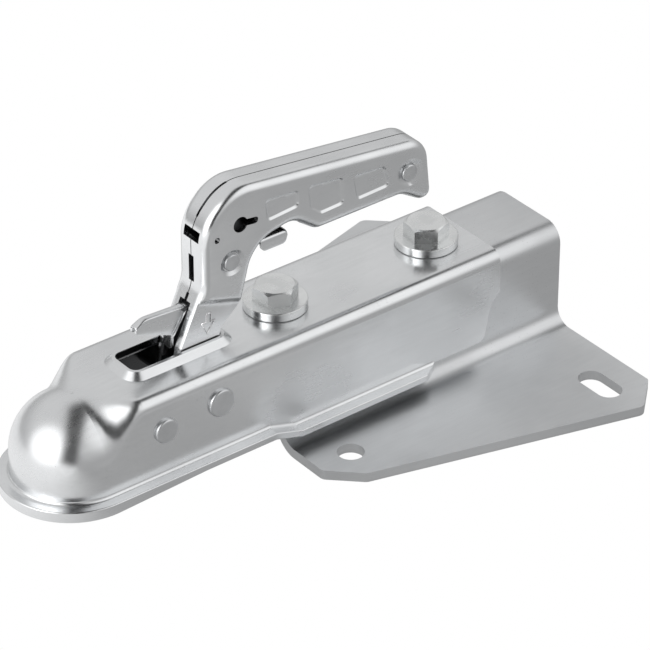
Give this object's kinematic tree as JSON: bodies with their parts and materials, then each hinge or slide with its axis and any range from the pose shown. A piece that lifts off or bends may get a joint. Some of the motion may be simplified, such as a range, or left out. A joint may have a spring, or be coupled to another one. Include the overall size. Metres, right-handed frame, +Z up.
{
  "type": "trailer coupling head",
  "caption": "Pressed-steel ball coupling with a squeeze-release hand lever, bolted to a hat-section delta bracket.",
  "frame": {"origin": "centre of the 50 mm tow ball that the nose closes over", "axes": "+X from the nose back towards the trailer, +Z up, -Y the left side seen from behind the nose"},
  "size_m": [0.3037, 0.2122, 0.1385],
  "materials": {
    "housing_steel": "bright zinc plated, faintly brushed",
    "bracket_steel": "satin zinc plated",
    "lever_steel": "bright zinc plated",
    "fastener_steel": "bright zinc plated",
    "rivet_steel": "zinc plated, peened heads",
    "inner_steel": "dull zinc plated",
    "spring_steel": "oiled wire"
  },
  "bodies": {
    "frame": {"coupling_body": "housing_steel", "mounting_bracket": "bracket_steel", "front_bolt": "fastener_steel", "front_washer": "fastener_steel", "front_lower_washer": "fastener_steel", "front_nut": "fastener_steel", "rear_bolt": "fastener_steel", "rear_washer": "fastener_steel", "rear_lower_washer": "fastener_steel", "rear_nut": "fastener_steel", "lever_pivot_pin": "rivet_steel", "jaw_pivot_pin": "rivet_steel", "lever_spacer_left": "inner_steel", "lever_spacer_right": "inner_steel", "jaw_spacer_left": "inner_steel", "jaw_spacer_right": "inner_steel", "jaw_spring": "spring_steel"},
    "lever": {"handle_shell_left": "lever_steel", "handle_shell_right": "lever_steel", "catch_rivet": "rivet_steel", "grip_rivet": "rivet_steel", "grip_spacer": "inner_steel", "catch_spacer": "inner_steel", "cam_rivet": "inner_steel", "lever_cam": "inner_steel", "catch_spring": "spring_steel"},
    "catch": {"safety_catch": "lever_steel"},
    "jaw": {"ball_jaw": "inner_steel"}
  },
  "joints": [
    {"name": "lever_lift", "type": "hinge", "parent": "frame", "child": "lever", "pos_m": [0.0622, 0, 0.0142], "axis": [0, -1, 0], "range_deg": [0, 45]},
    {"name": "catch_pull", "type": "hinge", "parent": "lever", "child": "catch", "pos_m": [0.0836, 0, 0.0711], "axis": [0, -1, 0], "range_deg": [0, 25]},
    {"name": "jaw_swing", "type": "hinge", "parent": "frame", "child": "jaw", "pos_m": [0.0313, 0, 0.0119], "axis": [0, -1, 0], "range_deg": [0, 15.5]}
  ],
  "couplings": [
    {"joint": "catch_pull", "follows": "lever_lift", "ratio": 0.55},
    {"joint": "jaw_swing", "follows": "lever_lift", "ratio": 0.3333}
  ]
}
